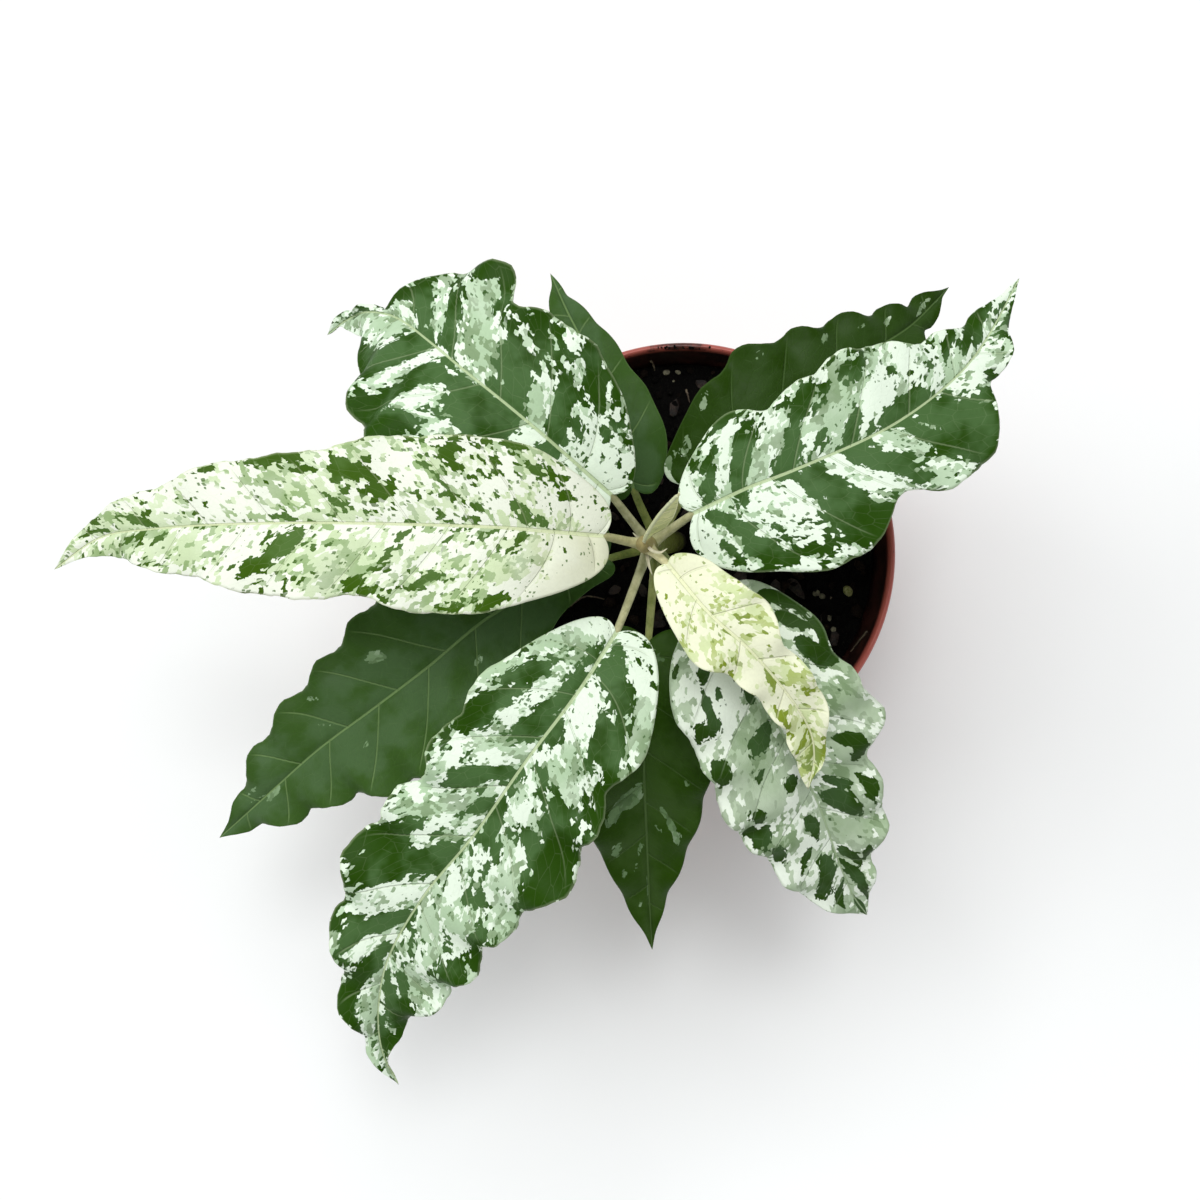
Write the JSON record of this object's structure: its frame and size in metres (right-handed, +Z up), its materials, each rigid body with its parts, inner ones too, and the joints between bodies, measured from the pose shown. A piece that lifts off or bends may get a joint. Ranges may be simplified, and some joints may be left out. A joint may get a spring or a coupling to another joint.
{
  "type": "potted ficus",
  "caption": "Young variegated ficus with waved, pointed leaves spreading from a short stem in a thin round nursery pot filled with dark soil.",
  "frame": {"origin": "centre of the pot's flat underside", "axes": "+Z up; seen from above with +Y away, the long cream leaf points to -X and the tallest stem tip leans to -X"},
  "size_m": [0.254, 0.223, 0.207],
  "materials": {
    "pot_plastic": "terracotta-red thin moulded plastic, satin",
    "potting_mix": "moist dark potting mix with pale prills and bark chips",
    "stem_green": "young green-brown bark",
    "leaf_cream": "satin leaf, cream and mint with green flecks",
    "leaf_variegated": "satin leaf, dark green with white and mint marbling",
    "leaf_dark": "satin leaf, dark green with a few pale flecks",
    "leaf_young": "satin young leaf, pale yellow-green"
  },
  "bodies": {
    "root": {"pot": "pot_plastic", "soil": "potting_mix", "stem": "stem_green", "leaf_1_cream": "leaf_cream", "leaf_2_upper_left": "leaf_variegated", "leaf_3_right": "leaf_variegated", "leaf_4_right_dark": "leaf_dark", "leaf_5_young": "leaf_young", "leaf_6_upper_plain": "leaf_dark", "leaf_7_lower_right": "leaf_variegated", "leaf_8_bottom_dark": "leaf_dark", "leaf_9_lower_left": "leaf_variegated", "leaf_10_left_dark": "leaf_dark", "spear_folded_leaf": "leaf_young"}
  },
  "joints": []
}
